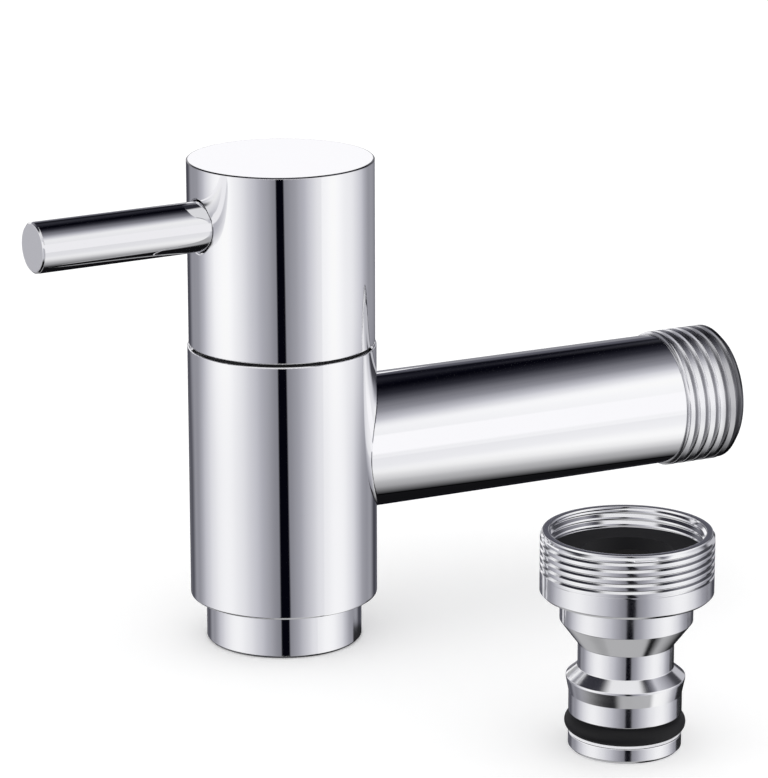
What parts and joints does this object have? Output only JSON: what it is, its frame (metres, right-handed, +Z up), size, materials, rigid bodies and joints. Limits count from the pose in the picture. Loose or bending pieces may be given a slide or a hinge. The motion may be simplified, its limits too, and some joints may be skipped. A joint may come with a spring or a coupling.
{
  "type": "garden tap",
  "caption": "Chrome single-lever wall tap: upright cylindrical body and handle with a rod lever, horizontal threaded inlet pipe, outlet ring, and a separate hose adapter.",
  "frame": {"origin": "on the axis of the body and handle, in the plane of the outlet rim", "axes": "+Z up along the body, +Y along the inlet pipe towards the wall, -Y towards the user, where the lever points, 3.5 degrees off, while the tap is closed"},
  "size_m": [0.0899, 0.1142, 0.073],
  "materials": {
    "chrome_body": "polished chrome plate on brass",
    "chrome_handle": "polished chrome plate on brass",
    "chrome_lever": "polished chrome plate on brass",
    "chrome_pipe": "polished chrome plate on brass",
    "chrome_ring": "polished chrome plate on brass",
    "chrome_adapter": "turned brass, bright chrome plate with fine turning marks",
    "brass": "machined",
    "steel": "plain stainless",
    "rubber_black": "matte moulded",
    "nylon_black": "moulded",
    "acetal_white": "moulded",
    "acetal_grey": "moulded",
    "alumina": "lapped"
  },
  "bodies": {
    "tap_body": {"valve_body": "chrome_body", "inlet_pipe": "chrome_pipe", "glide_ring": "nylon_black", "aerator_housing": "chrome_ring", "aerator_grid": "acetal_grey", "aerator_core": "acetal_white", "aerator_strainer": "steel", "aerator_washer": "rubber_black", "cartridge_housing": "brass", "cartridge_flange_seal": "rubber_black", "seat_seal": "rubber_black", "fixed_disc": "alumina"},
    "handle": {"handle_shell": "chrome_handle", "lever": "chrome_lever", "grub_screw": "steel", "spindle": "brass", "spindle_seals": "rubber_black", "thrust_washer": "acetal_white", "circlip": "steel", "moving_disc": "alumina"},
    "hose_adapter": {"adapter_body": "chrome_adapter", "adapter_washer": "rubber_black", "adapter_seal": "rubber_black"}
  },
  "joints": [
    {"name": "handle_turn", "type": "hinge", "parent": "tap_body", "child": "handle", "pos_m": [0, 0, 0.0594], "axis": [0, 0, 1], "range_deg": [0, 90]},
    {"name": "adapter_lift", "type": "slide", "parent": "tap_body", "child": "hose_adapter", "axis": [0, 0, 1], "range_m": [0, 0.06]}
  ]
}
